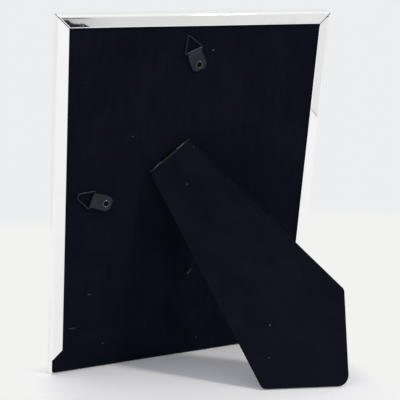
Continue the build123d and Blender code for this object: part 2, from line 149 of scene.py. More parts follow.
# Lint on the strut: millimetres along the hinge from its middle and down from it, and the size.
STRUT_SPECKS = (
    (-2.8, 18.5, 0.30),
    (-18.3, 105.7, 0.40),
    (-30.0, 118.5, 0.34),
    (13.4, 4.9, 0.26),
    (6.0, 62.0, 0.15),
    (-22.0, 84.0, 0.14),
)
# Loose fibres on the panel: start, two points that bend it, and end, in the panel's millimetres.
PANEL_FIBRES = (
    ((79.5, 53.1), (80.9, 53.6), (81.9, 55.0), (82.2, 56.5)),
    ((9.2, 28.0), (10.6, 27.6), (12.2, 27.9), (13.4, 27.5)),
    ((118.0, 88.0), (119.0, 89.1), (120.6, 89.0), (121.2, 90.3)),
)
# A speck's lumps, their number over its radius, and its width and height as shares of its length
LUMP_SHARE = 0.55
LUMPS = 2.2
SPECK_WIDTH_SHARE = 0.72
SPECK_HEIGHT_SHARE = 0.45
# Seeds of the lumps: the first speck's, and the step from each speck to the next
PANEL_SEEDS = (0.0, 3.1)
STRUT_SEEDS = (40.0, 2.7)
# A fibre's sides, the steps along it, and how thin its ends are
FIBRE_SIDES = 6
FIBRE_STEPS = 16
FIBRE_TIP_SHARE = 0.35

# Floor: its reach and cells, the stretch under the frame that stays matt, how slowly that ends behind the
# frame, the width over which the floor clears, its gleam in metal, and where it fades into the backdrop
FLOOR_REACH = 6
FLOOR_CELLS = 8
MATT_ACROSS = (-65 * MM, 76 * MM)
MATT_ALONG = (-45 * MM, 20 * MM)
MATT_SLOPE = 0.25
CLEARING = 22 * MM
GLEAM_SHARE = 0.7
FLOOR_FADE = (0.5, 0.64)

# Grey card, which glows and is seen only in reflections, where it paints dark reflections on the lips: how
# far it runs past its corner, the slant of its end, the length over which it fans out, and how far from its
# wing's edge the wing's tip and root are
CARD_PAST = 0.03
CARD_SLANT = 0.27
FAN_LENGTH = 1.0
WING_TIP = 0.009
WING_ROOT = 0.122
# Its painted dark patch, line, border and shades, which the lips mirror as painted reflections: a span, and
# the values at its ends unless they are none and all
RAG = 0.9 * MM
RAG_SCALE = 240.0
REFLECTED_PATCH_BLUR = 0.8 * MM
REFLECTED_PATCH_TAPER = (0.0, 9 * MM, 17.5 * MM, 8 * MM)
REFLECTED_PATCH_END = (16 * MM, 29 * MM, 0.0, -11 * MM)
WING_LEVELS = (-10 * MM, -12 * MM)
LINE_LEVELS = (20 * MM, 21 * MM)
LINE_REACH = (30 * MM, 14 * MM)
BORDER_REACH = (1.8 * MM, 1.2 * MM)
BORDER_SHARE = 0.4
CARD_SHADES = ((-10 * MM, 60 * MM, 0.6, 0.88), (60 * MM, 300 * MM, 0.0, 0.12))

# Directions of the backdrop, along the world's Z and Y: where it whitens overhead, and the far wall's middle
# and the way in which it lies
WHITE_UP = (0.35, 0.75)
WHITE_ALONG = (-0.15, 0.1)
WALL_CORE = 0.03
WALL_ALONG = (-0.5, -0.7)

KEY_AIM = (0, 0, 0.1)
SENSOR_WIDTH = 36
CLIP_START = 0.01


def colour(label, note, default):
    """A colour that a user may change."""
    return FloatVectorProperty(
        name=label, description=note, subtype="COLOR", size=4, min=0, max=1, default=(*default, 1)
    )


def amount(label, note, default, **more):
    """An amount from none upwards that a user may change."""
    return FloatProperty(name=label, description=note, default=default, min=0, **more)


def length(label, note, default):
    """A length that a user may change."""
    return amount(label, note, default, unit="LENGTH", precision=5)


def share(label, note, default):
    """An amount from none to all that a user may change."""
    return amount(label, note, default, max=1, subtype="FACTOR")


def spot(label, note, default):
    """A place that a user may change."""
    kinds = {"subtype": "TRANSLATION", "unit": "LENGTH", "precision": 5}
    return FloatVectorProperty(name=label, description=note, default=default, **kinds)


class RailSettings(PropertyGroup):
    """Sizes and colours of the plated rails and their keys."""

    plate: colour("Plate", "Clean silver plate", (0.955, 0.95, 0.94))
    tarnish: colour("Tarnish", "Plate that has yellowed along seams", (0.66, 0.60, 0.50))
    brass: colour("Brass", "Corner keys", (0.30, 0.22, 0.10))
    ease: length("Edge ease", "Rounding of the sheet's cut edges", 0.2 * MM)
    rollover: length("Rollover", "Width of the band that rolls over along a lip's cut edge", 0.5 * MM)
    rollover_drop: length("Rollover drop", "How far that band rolls over", 0.12 * MM)
    wave: length("Waviness", "Height of the sheet's long waves", 0.0012 * MM)


class VelvetSettings(PropertyGroup):
    """Sizes and colours of the velvet on the back and the strut."""

    pile: colour("Pile", "Velvet seen into its pile", (0.0018, 0.0024, 0.0059))
    nap: colour("Nap", "Velvet where the pile lies over", (0.0041, 0.0051, 0.0112))
    sheen_tint: colour("Sheen", "Light caught by the tips of the pile", (0.50, 0.50, 0.66))
    sheen: share("Sheen amount", "How much light the tips of the pile catch", 0.02)
    strut_pile: colour("Strut pile", "The strut's velvet, seen into its pile", (0.0019, 0.0024, 0.0055))
    strut_nap: colour("Strut nap", "The strut's velvet where its pile lies over", (0.0043, 0.0050, 0.0105))
    # Share by which the strut's velvet grows paler towards its foot
    foot_lightening: share("Foot lightening", "How much more the strut's pile lies over at its foot", 0.22)
    pitch: length("Mesh pitch", "Spacing of the cover's mesh", 2.5 * MM)
    ripple: length("Ripple", "How far the cover sinks and rises on its board", 0.05 * MM)


class BoardSettings(PropertyGroup):
    """Sizes and colours of the glass, boards and papers."""

    board: colour("Board", "Pressed board of the back and the strut", (0.17, 0.11, 0.065))
    card: colour("Card", "Backing card", (0.30, 0.30, 0.305))
    lining: colour("Lining", "Lining paper inside the back", (0.028, 0.028, 0.031))
    paper: colour("Insert", "Blank insert behind the glass", (0.88, 0.86, 0.81))
    glass: colour("Glass", "Tint of the pane", (0.98, 0.992, 0.985))
    pitch: length("Insert pitch", "Spacing of the insert's mesh", 6 * MM)
    ripple: length("Cockle", "How far the insert cockles behind the glass", 0.06 * MM)


class MetalSettings(PropertyGroup):
    """Sizes and colours of the hangers and the hinge."""

    hanger: colour("Hanger", "Blackened metal of the hangers", (0.0210, 0.0217, 0.0315))
    eyelet: colour("Eyelet", "Blackened metal of the eyelets", (0.055, 0.0555, 0.066))
    paling: colour("Worn metal", "Hanger metal rubbed bright on its edges", (0.26, 0.26, 0.29))
    # The panel's leaf takes a paler copy of the hinge steel: painted highlight, so its knuckles show
    # brighter glints than the strut's leaf
    hinge: colour("Hinge", "Blackened steel of the strut's leaf, pin and rivets", (0.0090, 0.0105, 0.0145))
    hinge_glint_lift: colour("Hinge glint lift", "Steel of the panel's hinge leaf, paler for brighter glints", (0.046, 0.050, 0.060))
    hanger_ease: length("Hanger ease", "Rounding of the strap's edges", 0.12 * MM)


class LintSettings(PropertyGroup):
    """Colours and sizes of the lint."""

    fluff: colour("Lint", "Specks and fibres on the velvet", (0.16, 0.16, 0.18))
    fibre_radius: length("Fibre radius", "Half the width of a loose fibre", 0.09 * MM)


class StageSettings(PropertyGroup):
    """Camera, lamps, floor and backdrop."""

    backdrop: colour("Backdrop", "Backdrop, as the camera sees it", (0.84, 0.85, 0.86))
    floor: colour("Floor", "Floor under the frame", (0.95, 0.945, 0.945))
    clear_floor: colour("Clear floor", "Floor away from the frame, as it is seen", (0.89, 0.89, 0.88))
    far_wall: colour("Far wall", "Wall that the front of the rails mirrors", (0.40, 0.40, 0.41))
    wall_level: share("Wall level", "How high the far wall lies, as a share of straight up", 0.24)
    wall_reach: share("Wall reach", "How far the far wall reaches up and down from there", 0.16)
    gleam: colour("Gleam", "Floor, as polished metal mirrors it", (0.945, 0.945, 0.945))
    sky: colour("Sky", "Tint of the light all round", (0.90, 0.91, 1.0))
    ambient: amount("Ambient", "Strength of the light all round", 0.81)
    key_power: amount("Key", "Power of the soft lamp", 34.0, unit="POWER")
    key_tint: colour("Key tint", "Tint of the soft lamp", (1.0, 0.97, 0.91))
    key_place: spot("Key place", "Where the soft lamp stands", (-1.22, 1.95, 1.98))
    key_size: length("Key size", "Width of the soft lamp", 0.28)
    top_power: amount("Top lamp", "Power of the lamp overhead", 17.0, unit="POWER")
    top_place: spot("Top place", "Where the lamp overhead hangs", (0.40, 0.40, 1.50))
    top_width: length("Top width", "Width of the lamp overhead", 1.20)
    top_depth: length("Top depth", "Depth of the lamp overhead", 0.50)
    # The grey card glows and is seen only in reflections: its dark end and wing border are painted
    # reflections on the top and right lips
    card_place: spot("Card place", "Corner of the card that the top lip mirrors", (-0.05, 0.408, 0.0005))
    card_width: length("Card width", "Length of the grey card, along the frame", 0.32)
    card_depth: length("Card depth", "Reach of the grey card, away from the frame", 3.0)
    card_near: length("Card near", "Reach of the grey card, towards the frame", 7.5 * MM)
    card_edge: length("Card edge", "How far along the card its wing towards the frame starts", 0.158)
    card_wing: length("Card wing", "Reach of the wing that the right rail's lip mirrors", 0.22)
    card_pale: colour("Card", "Pale end of the grey card", (0.82, 0.82, 0.83))
    card_dark: colour("Reflected dark patch", "Dark end of the grey card", (0.02, 0.02, 0.025))
    camera_place: spot("Camera place", "Where the camera stands", (0.212935, 0.503349, 0.180541))
    camera_turn: FloatVectorProperty(
        name="Camera turn",
        description="How the camera is turned",
        subtype="EULER",
        default=(radians(82.5187), radians(1.687), radians(156.1644)),
    )
    lens: FloatProperty(name="Lens", description="Focal length in millimetres", default=90.712, min=1)
    shift: FloatVectorProperty(
        name="Shift", description="Shift of the picture across and up", size=2, default=(-0.0376, -0.0421)
    )


class EaselFrameSettings(PropertyGroup):
    """All the settings of the photo frame."""

    rails: PointerProperty(type=RailSettings)
    velvet: PointerProperty(type=VelvetSettings)
    boards: PointerProperty(type=BoardSettings)
    metal: PointerProperty(type=MetalSettings)
    lint: PointerProperty(type=LintSettings)
    stage: PointerProperty(type=StageSettings)


def add(tree, kind, inputs=None, **settings):
    """Adds a node with its settings, and sets or joins its inputs."""
    made = tree.nodes.new(kind)
    for name, value in settings.items():
        setattr(made, name, value)
    for name, value in (inputs or {}).items():
        if isinstance(value, NodeSocket):
            tree.links.new(value, made.inputs[name])
        else:
            made.inputs[name].default_value = value
    return made


def calc(tree, operation, first, second=0.0):
    """The result of one sum on two values."""
    return add(tree, "ShaderNodeMath", {0: first, 1: second}, operation=operation).outputs[0]


def spread(tree, value, low, high, to_low=0.0, to_high=1.0):
    """A value moved smoothly from one span to another."""
    inputs = {"Value": value, "From Min": low, "From Max": high, "To Min": to_low, "To Max": to_high}
    return add(tree, "ShaderNodeMapRange", inputs, interpolation_type="SMOOTHSTEP").outputs[0]


def mixed(tree, factor, first, second):
    """Two colours mixed by a factor."""
    made = add(tree, "ShaderNodeMix", data_type="RGBA", clamp_factor=True)
    for socket, value in ((made.inputs[0], factor), (made.inputs[6], first), (made.inputs[7], second)):
        if isinstance(value, NodeSocket):
            tree.links.new(value, socket)
        else:
            socket.default_value = value
    return made.outputs[2]


def weighed(tree, *parts):
    """The sum of values, each times its weight."""
    total, *others = [calc(tree, "MULTIPLY", value, weight) for value, weight in parts]
    for other in others:
        total = calc(tree, "ADD", total, other)
    return total


def layered(tree, factor, first, second):
    """Two shaders mixed by a factor."""
    return add(tree, "ShaderNodeMixShader", {0: factor, 1: first, 2: second}).outputs[0]


def glowing(tree, tint):
    """A surface that shows its colour as it is, whatever the light."""
    return add(tree, "ShaderNodeEmission", {"Color": tint, "Strength": 1.0}).outputs[0]


def emptied(owner):
    """The node tree of a new material or world, with nothing in it."""
    owner.use_nodes = True
    owner.node_tree.nodes.clear()
    return owner.node_tree


def toned(tint, by):
    """A colour made darker or paler."""
    return [min(1.0, by * part) for part in tint[:3]] + [1]


def grain(tree, vector, scale, detail=3.0, stretch=(1.0, 1.0, 1.0), distortion=0.0):
    """Noise, stretched along the axes where that is asked."""
    drawn = add(tree, "ShaderNodeVectorMath", {0: vector, 1: stretch}, operation="MULTIPLY").outputs[0]
    inputs = {"Vector": drawn, "Scale": scale, "Detail": detail, "Distortion": distortion}
    return add(tree, "ShaderNodeTexNoise", inputs).outputs[0]


def effect(name, inputs, outputs):
    """A new node group with named inputs and outputs."""
    tree = bpy.data.node_groups.new(name, "ShaderNodeTree")
    for label, kind, default in inputs:
        socket = tree.interface.new_socket(label, in_out="INPUT", socket_type=f"NodeSocket{kind}")
        if default is not None:
            socket.default_value = default
    for label, kind in outputs:
        tree.interface.new_socket(label, in_out="OUTPUT", socket_type=f"NodeSocket{kind}")
    return tree, tree.nodes.new("NodeGroupInput").outputs, tree.nodes.new("NodeGroupOutput").inputs


def handling_marks():
    """Smudges left by fingers, fine scratches, and long waves of a sheet."""
    name = "Handling marks"
    if name in bpy.data.node_groups:
        return bpy.data.node_groups[name]
    tree, given, result = effect(
        name,
        [("Vector", "Vector", None), ("Smudge Scale", "Float", 70.0), ("Scratch Scale", "Float", 900.0)],
        [("Smudge", "Float"), ("Scratches", "Float"), ("Wave", "Float")],
    )
    place = given["Vector"]
    clouds = grain(tree, place, given["Smudge Scale"], 4.0, distortion=0.8)
    broken = grain(tree, place, calc(tree, "MULTIPLY", given["Smudge Scale"], 9.0), 2.0)
    smudge = calc(tree, "MULTIPLY", spread(tree, clouds, 0.48, 0.72), spread(tree, broken, 0.2, 0.7, 0.5))
    along = grain(tree, place, given["Scratch Scale"], 1.0, (1.0, 0.6, 0.035))
    athwart = grain(tree, place, given["Scratch Scale"], 1.0, (0.05, 1.0, 0.9))
    lines = calc(tree, "MAXIMUM", spread(tree, along, 0.66, 0.72), spread(tree, athwart, 0.69, 0.74))
    joins = (
        (smudge, "Smudge"),
        (lines, "Scratches"),
        (grain(tree, place, calc(tree, "MULTIPLY", given["Smudge Scale"], 0.55), 1.0), "Wave"),
    )
    for value, label in joins:
        tree.links.new(value, result[label])
    return tree


def edge_wear():
    """Where edges stand out and have been rubbed, broken up by noise."""
    name = "Edge wear"
    if name in bpy.data.node_groups:
        return bpy.data.node_groups[name]
    tree, given, result = effect(
        name,
        [("Vector", "Vector", None), ("Radius", "Float", 0.2 * MM), ("Breakup Scale", "Float", 800.0)],
        [("Mask", "Float")],
    )
    rounded = add(tree, "ShaderNodeBevel", {"Radius": given["Radius"]}, samples=6).outputs[0]
    facing = add(tree, "ShaderNodeNewGeometry").outputs["True Normal"]
    both = {0: rounded, 1: facing}
    turned = add(tree, "ShaderNodeVectorMath", both, operation="DOT_PRODUCT").outputs["Value"]
    edge = spread(tree, turned, 0.995, 0.86)
    broken = spread(tree, grain(tree, given["Vector"], given["Breakup Scale"], 3.0), 0.36, 0.66)
    tree.links.new(calc(tree, "MULTIPLY", edge, broken), result["Mask"])
    return tree


def velvet_nap():
    """The shade and height of a velvet's pile: fine tufts, brushed streaks and broad patches."""
    name = "Velvet nap"
    if name in bpy.data.node_groups:
        return bpy.data.node_groups[name]
    tree, given, result = effect(
        name,
        [("Vector", "Vector", None), ("Tuft Scale", "Float", 2600.0), ("Patch Scale", "Float", 26.0)],
        [("Lie", "Float"), ("Height", "Float"), ("Dust", "Float")],
    )
    place = given["Vector"]
    tufts = grain(tree, place, given["Tuft Scale"], 2.0)
    streaks = grain(tree, place, calc(tree, "MULTIPLY", given["Tuft Scale"], 0.16), 3.0, (1.0, 0.16, 1.0))
    patches = grain(tree, place, given["Patch Scale"], 3.0, distortion=1.2)
    lie = spread(tree, patches, 0.3, 0.7, 0.0, 0.4)
    for value, low, weight in ((streaks, 0.3, 0.25), (tufts, 0.35, 0.25)):
        lie = calc(tree, "ADD", lie, spread(tree, value, low, 0.7, 0.0, weight))
    specks = add(tree, "ShaderNodeTexVoronoi", {"Vector": place, "Scale": 240.0}, feature="F1").outputs
    chosen = spread(tree, grain(tree, place, 150.0, 1.0), 0.66, 0.7)
    dust = calc(tree, "MULTIPLY", spread(tree, specks["Distance"], 0.05, 0.02), chosen)
    height = weighed(tree, (tufts, 0.6), (streaks, 0.4))
    for value, label in ((lie, "Lie"), (height, "Height"), (dust, "Dust")):
        tree.links.new(value, result[label])
    return tree


def pressed_fibres():
    """The shade, height and dark flecks of paper or board."""
    name = "Pressed fibres"
    if name in bpy.data.node_groups:
        return bpy.data.node_groups[name]
    tree, given, result = effect(
        name,
        [("Vector", "Vector", None), ("Fibre Scale", "Float", 900.0), ("Fleck Scale", "Float", 420.0)],
        [("Shade", "Float"), ("Height", "Float"), ("Flecks", "Float")],
    )
    place = given["Vector"]
    along = grain(tree, place, given["Fibre Scale"], 4.0, (1.0, 0.14, 0.3), 1.5)
    athwart = grain(tree, place, given["Fibre Scale"], 4.0, (0.16, 1.0, 0.9), 1.5)
    clouds = grain(tree, place, calc(tree, "MULTIPLY", given["Fibre Scale"], 0.05), 3.0)
    shade = weighed(tree, (along, 0.4), (athwart, 0.35), (clouds, 0.25))
    flecks = spread(tree, grain(tree, place, given["Fleck Scale"], 2.0, (1.0, 0.4, 0.6)), 0.68, 0.74)
    for value, label in ((shade, "Shade"), (shade, "Height"), (flecks, "Flecks")):
        tree.links.new(value, result[label])
    return tree


class Finish:
    """A material with one Principled BSDF, and what feeds it."""

    def __init__(self, name, turn=None, **plain):
        self.material = bpy.data.materials.new(name)
        self.tree = emptied(self.material)
        self.shader = add(self.tree, "ShaderNodeBsdfPrincipled", plain)
        self.output = add(self.tree, "ShaderNodeOutputMaterial", {"Surface": self.shader.outputs[0]})
        self.place = add(self.tree, "ShaderNodeTexCoord").outputs["Object"]
        if turn is not None:
            inputs = {"Vector": self.place, "Rotation": turn.inverted().to_euler()}
            self.place = add(self.tree, "ShaderNodeMapping", inputs, vector_type="POINT").outputs[0]

    def use(self, group, **values):
        """Places an effect in the material, with its own values, and gives its outputs."""
        made = add(self.tree, "ShaderNodeGroup", node_tree=group)
        self.tree.links.new(self.place, made.inputs["Vector"])
        for label, value in values.items():
            made.inputs[label.replace("_", " ")].default_value = value
        return made.outputs

    def feed(self, label, value):
        """Joins a value to one of the shader's sockets."""
        self.tree.links.new(value, self.shader.inputs[label])

    def raise_by(self, height, distance, strength=1.0):
        """Feeds the normal with a height, in metres."""
        bump = {"Height": height, "Distance": distance, "Strength": strength}
        self.feed("Normal", add(self.tree, "ShaderNodeBump", bump).outputs[0])


def silver_finish(settings):
    """Polished silver plate: smudged, finely scratched, and yellowed a little along its edges."""
    made = Finish("Polished silver plate", BACK_TURN, Metallic=1.0)
    tree = made.tree
    marks = made.use(handling_marks(), Smudge_Scale=75.0, Scratch_Scale=1100.0)
    wear = made.use(edge_wear(), Radius=0.35 * MM, Breakup_Scale=260.0)["Mask"]
    soiled = weighed(tree, (wear, 0.12), (marks["Smudge"], 0.06))
    made.feed("Base Color", mixed(tree, soiled, settings.plate, settings.tarnish))
    rough = spread(tree, marks["Smudge"], 0.0, 1.0, 0.02, 0.04)
    made.feed("Roughness", calc(tree, "ADD", rough, calc(tree, "MULTIPLY", marks["Scratches"], 0.04)))
    height = calc(tree, "SUBTRACT", marks["Wave"], calc(tree, "MULTIPLY", marks["Scratches"], 0.02))
    made.raise_by(height, settings.wave)
    return made.material


def brass_finish(settings):
    """Soldered brass strip, dulled by handling."""
    made = Finish("Dull brass strip", BACK_TURN, Metallic=1.0)
    tree = made.tree
    marks = made.use(handling_marks(), Smudge_Scale=160.0, Scratch_Scale=1500.0)
    dulled = calc(tree, "MULTIPLY", marks["Smudge"], 0.7)
    made.feed("Base Color", mixed(tree, dulled, settings.brass, toned(settings.brass, 0.45)))
    made.feed("Roughness", spread(tree, marks["Smudge"], 0.0, 1.0, 0.28, 0.5))
    made.raise_by(marks["Scratches"], -0.004 * MM)
    return made.material


def velvet_finish(settings, name, turn, patch_scale, deep, pale, paling=None):
    """Black velvet: deep between the tufts, paler where the nap lies over, and a little dusty.

    Given a paling span, the velvet lies over more, and so grows paler, from one level to another along its
    own second direction.
    """
    made = Finish(
        name,
        turn,
        **{
            "Sheen Weight": settings.sheen,
            "Sheen Roughness": 0.42,
            "Sheen Tint": settings.sheen_tint,
            "Specular IOR Level": 0.06,
        },
    )
    tree = made.tree
    nap = made.use(velvet_nap(), Patch_Scale=patch_scale)
    lie = nap["Lie"]
    if paling:
        # Paler towards one end along its own second direction; on the strut, paler towards its foot
        level = add(tree, "ShaderNodeSeparateXYZ", {0: made.place}).outputs["Y"]
        lie = calc(tree, "ADD", lie, spread(tree, level, *paling, 0.0, settings.foot_lightening))
    shade = mixed(tree, lie, deep, pale)
    dusty = calc(tree, "MULTIPLY", nap["Dust"], 0.35)
    made.feed("Base Color", mixed(tree, dusty, shade, (0.05, 0.05, 0.055, 1)))
    made.feed("Roughness", spread(tree, lie, 0.0, 1.0, 0.98, 0.86))
    made.raise_by(nap["Height"], 0.12 * MM)
    return made.material


def fibre_finish(name, tint):
    """Paper, card or board: fibres, clouds and dark flecks in one tint."""
    depth, fibre_scale, fleck_scale, roughness, flecks = PAPERS[name]
    made = Finish(name, BACK_TURN)
    tree = made.tree
    fibres = made.use(pressed_fibres(), Fibre_Scale=fibre_scale, Fleck_Scale=fleck_scale)
    shade = mixed(tree, spread(tree, fibres["Shade"], 0.35, 0.65), toned(tint, 1 - depth), tint)
    flecked = calc(tree, "MULTIPLY", fibres["Flecks"], flecks)
    made.feed("Base Color", mixed(tree, flecked, shade, toned(tint, 0.35)))
    made.feed("Roughness", spread(tree, fibres["Shade"], 0.3, 0.7, roughness, roughness - 0.12))
    made.raise_by(fibres["Height"], 0.03 * MM)
    return made.material


def glass_finish(settings):
    """Clear pane, faintly tinted, with a trace of finger marks; it lets light through to the insert."""
    made = Finish(
        "Clear glass",
        BACK_TURN,
        **{"Base Color": settings.glass, "Transmission Weight": 1.0, "IOR": 1.5},
    )
    marks = made.use(handling_marks(), Smudge_Scale=45.0, Scratch_Scale=700.0)
    tree = made.tree
    made.feed("Roughness", spread(tree, marks["Smudge"], 0.0, 1.0, 0.0, 0.035))
    ray = add(tree, "ShaderNodeLightPath").outputs
    lit = calc(tree, "MAXIMUM", ray["Is Shadow Ray"], ray["Is Diffuse Ray"])
    clear = add(tree, "ShaderNodeBsdfTransparent", {"Color": settings.glass}).outputs[0]
    tree.links.new(layered(tree, lit, made.shader.outputs[0], clear), made.output.inputs["Surface"])
    return made.material


def hanger_finish(settings, name, tint, roughness):
    """Blackened steel strap, wire or eyelet, rubbed bright along its edges."""
    made = Finish(name, BACK_TURN, Metallic=0.85)
    tree = made.tree
    marks = made.use(handling_marks(), Smudge_Scale=420.0, Scratch_Scale=2600.0)
    wear = made.use(edge_wear(), Radius=0.16 * MM, Breakup_Scale=900.0)["Mask"]
    rubbed = weighed(tree, (wear, 0.2), (marks["Scratches"], 0.05))
    black = mixed(tree, marks["Smudge"], tint, toned(tint, 0.85))
    made.feed("Base Color", mixed(tree, rubbed, black, settings.paling))
    made.feed("Roughness", spread(tree, marks["Smudge"], 0.0, 1.0, roughness, 1.4 * roughness))
    made.raise_by(marks["Scratches"], -0.001 * MM)
    return made.material


def steel_finish(name, tint):
    """Blackened hinge steel, drawn along its length and dulled by oil."""
    made = Finish(name, STRUT_TURN, Metallic=0.8)
    tree = made.tree
    marks = made.use(handling_marks(), Smudge_Scale=300.0, Scratch_Scale=2200.0)
    wear = made.use(edge_wear(), Radius=0.1 * MM, Breakup_Scale=1200.0)["Mask"]
    shade = mixed(tree, calc(tree, "MULTIPLY", marks["Smudge"], 0.8), tint, toned(tint, 0.6))
    made.feed("Base Color", mixed(tree, wear, shade, toned(tint, 2)))
    made.feed("Roughness", spread(tree, marks["Smudge"], 0.0, 1.0, 0.13, 0.22))
    made.raise_by(marks["Scratches"], -0.003 * MM)
    return made.material


def lint_finish(settings):
    """Pale lint, unevenly grey."""
    made = Finish("Grey lint", BACK_TURN, Roughness=1.0)
    tree = made.tree
    fibres = made.use(pressed_fibres(), Fibre_Scale=5200.0, Fleck_Scale=3000.0)
    shade = spread(tree, fibres["Shade"], 0.3, 0.7)
    made.feed("Base Color", mixed(tree, shade, toned(settings.fluff, 0.5), settings.fluff))
    made.raise_by(fibres["Height"], 0.05 * MM)
    return made.material


def welded(node):
    """A node's mesh with its split corners joined and its flat triangles merged."""
    source = NODES[node].data
    bm = bmesh.new()
    corners = [bm.verts.new(vert.co) for vert in source.vertices]
    for face in source.polygons:
        bm.faces.new([corners[index] for index in face.vertices])
    bmesh.ops.remove_doubles(bm, verts=bm.verts, dist=WELD)
    bmesh.ops.dissolve_limit(bm, angle_limit=FLAT_ANGLE, verts=bm.verts, edges=bm.edges)
    bmesh.ops.recalc_face_normals(bm, faces=bm.faces)
    return bm


def formed(bm, name, finish):
    """A new object of a bmesh, in one finish."""
    mesh = bpy.data.meshes.new(name)
    bm.to_mesh(mesh)
    bm.free()
    mesh.materials.append(finish)
    made = bpy.data.objects.new(name, mesh)
    bpy.context.scene.collection.objects.link(made)
    return made


def shown(bm, name, body, finish, slot, *nodes):
    """Makes a piece of a bmesh that rides on a body, and stands for the nodes named."""
    made = formed(bm, name, finish)
    made.data.shade_smooth()
    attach(made, body)
    if nodes:
        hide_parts(*nodes)
    return made


def node_slot(node):
    """The record's material slot of a node."""
    return NODES[node].data.materials[0].name


def painted(node, finish):
    """Gives a node that stays a better finish."""
    NODES[node].material_slots[0].material = finish


def shade_flat_and_round(mesh):
    """Shades bends and eased edges smoothly, while the wide faces beside them stay flat."""
    around = {}
    for face in mesh.polygons:
        for corner in face.vertices:
            around.setdefault(corner, []).append(face)
    normals = []
    for face in mesh.polygons:
        for corner in face.vertices:
            near = [other for other in around[corner] if other.normal.angle(face.normal, 0) < SMOOTH_ANGLE]
            widest = max(other.area for other in near)
            wide = [other.normal for other in near if other.area > WIDE_SHARE * widest]
            normals.append(sum(wide, Vector()).normalized())
    mesh.normals_split_custom_set(normals)


def rolled_over(bm, facing, width, drop):
    """Rolls a lip's cut edge over: a narrow band along it leans in towards the panel."""
    back = max(vert.co.dot(OUT) for vert in bm.verts)
    edge = max(vert.co.dot(facing) for vert in bm.verts if back - vert.co.dot(OUT) < LIP_DEPTH)
    every = [*bm.verts, *bm.edges, *bm.faces]
    bmesh.ops.bisect_plane(bm, geom=every, plane_co=facing * (edge - width), plane_no=facing)
    for vert in bm.verts:
        past = vert.co.dot(facing) - (edge - width)
        if past > WELD and back - vert.co.dot(OUT) < LIP_DEPTH:
            vert.co -= OUT * drop * past / width


def eased(node, finish, ease, rolls=()):
    """A rigid piece that stands for a node, with its sharp edges rounded and its lip's edges rolled."""
    slot = node_slot(node)
    bm = welded(node)
    for roll in rolls:
        rolled_over(bm, *roll)
    sharp = [edge for edge in bm.edges if edge.is_manifold and edge.calc_face_angle() > SMOOTH_ANGLE]
    form = {"segments": EASE_STEPS, "profile": 0.5, "affect": "EDGES", "clamp_overlap": True}
    bmesh.ops.bevel(bm, geom=sharp, offset=ease, **form)
    made = shown(bm, f"{node}_eased", NODES[node]["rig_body"], finish, slot, node)
    shade_flat_and_round(made.data)
    return made


def reach(node, turn, start):
    """The lowest and highest corners of a node along a piece's own directions."""
    places = [turn.transposed() @ (vert.co - start) for vert in NODES[node].data.vertices]
    return [Vector(map(pick, zip(*places))) for pick in (min, max)]


def napped(node, name, finish, turn, start, settings):
    """A sheet that stands for a node: the node's form, sliced fine and rippled on its open face."""
    slot = node_slot(node)
    low, high = reach(node, turn, start)
    bm = welded(node)
    for index in (0, 1):
        direction = turn.col[index]
        steps = ceil((high[index] - low[index]) / settings.pitch)
        for step in range(1, steps):
            level = low[index] + step * (high[index] - low[index]) / steps
            every = [*bm.verts, *bm.edges, *bm.faces]
            bmesh.ops.bisect_plane(bm, geom=every, plane_co=start + level * direction, plane_no=direction)
    for vert in bm.verts:
        place = turn.transposed() @ (vert.co - start)
        if high.z - place.z < OPEN_FACE:
            swell = noise.noise(place / LONG_RIPPLE) + SHORT_SHARE * noise.noise(place / SHORT_RIPPLE)
            vert.co -= turn.col[2] * settings.ripple * (SINK_SHARE + SWELL_SHARE * swell)
    made = shown(bm, name, NODES[node]["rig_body"], finish, slot, node)
    made.data.set_sharp_from_angle(angle=SHARP_ANGLE)
    return made


def speck(bm, place, turn, radius, seed):
    """A tuft of lint that lies on a surface."""
    made = bmesh.ops.create_icosphere(bm, subdivisions=2, radius=radius)
    for vert in made["verts"]:
        lump = 1 + LUMP_SHARE * noise.noise(vert.co * (LUMPS / radius) + Vector((seed, 2 * seed, 0)))
        long, wide, high = vert.co * lump
        vert.co = place + turn @ Vector((long, SPECK_WIDTH_SHARE * wide, SPECK_HEIGHT_SHARE * high))


def strand(bm, points, turn, radius):
    """A loose fibre along bent points."""
    rings = []
    for index, place in enumerate(points):
        before, after = points[max(index - 1, 0)], points[min(index + 1, len(points) - 1)]
        ahead = (after - before).normalized()
        aside = turn.col[2].cross(ahead).normalized()
        thin = radius * (FIBRE_TIP_SHARE if index in (0, len(points) - 1) else 1)
        ring = []
        for side in range(FIBRE_SIDES):
            spin = Matrix.Rotation(radians(360) * side / FIBRE_SIDES, 3, ahead)
            ring.append(bm.verts.new(place + spin @ aside * thin))
        rings.append(ring)
    for ring, following in zip(rings, rings[1:]):
        for side in range(FIBRE_SIDES):
            beside = (side + 1) % FIBRE_SIDES
            bm.faces.new((ring[side], ring[beside], following[beside], following[side]))
    bm.faces.new(reversed(rings[0]))
    bm.faces.new(rings[-1])


class EASEL_OT_rails(Operator):
    """Makes the polished rails and finishes the keys that join them"""

    bl_idname = "easel_frame.rails"
    bl_label = "Rails and keys"

    def execute(self, context):
        settings = context.scene.easel_frame.rails
        silver = silver_finish(settings)
        for node, cut_edges in RAILS.items():
            rolls = [(facing, settings.rollover, settings.rollover_drop) for facing in cut_edges]
            eased(node, silver, settings.ease, rolls)
        brass = brass_finish(settings)
        for node in CORNER_KEYS:
            painted(node, brass)
        return {"FINISHED"}


class EASEL_OT_pack(Operator):
    """Makes the blank insert and finishes the glass and the backing card"""

    bl_idname = "easel_frame.pack"
    bl_label = "Glass, insert and card"

    def execute(self, context):
        settings = context.scene.easel_frame.boards
        painted("glass_pane", glass_finish(settings))
        paper = fibre_finish("Insert paper", settings.paper)
        napped("photo_insert", "photo_insert_sheet", paper, FRONT_TURN, Vector(), settings)
        painted("backing_card", fibre_finish("Backing card", settings.card))
        return {"FINISHED"}


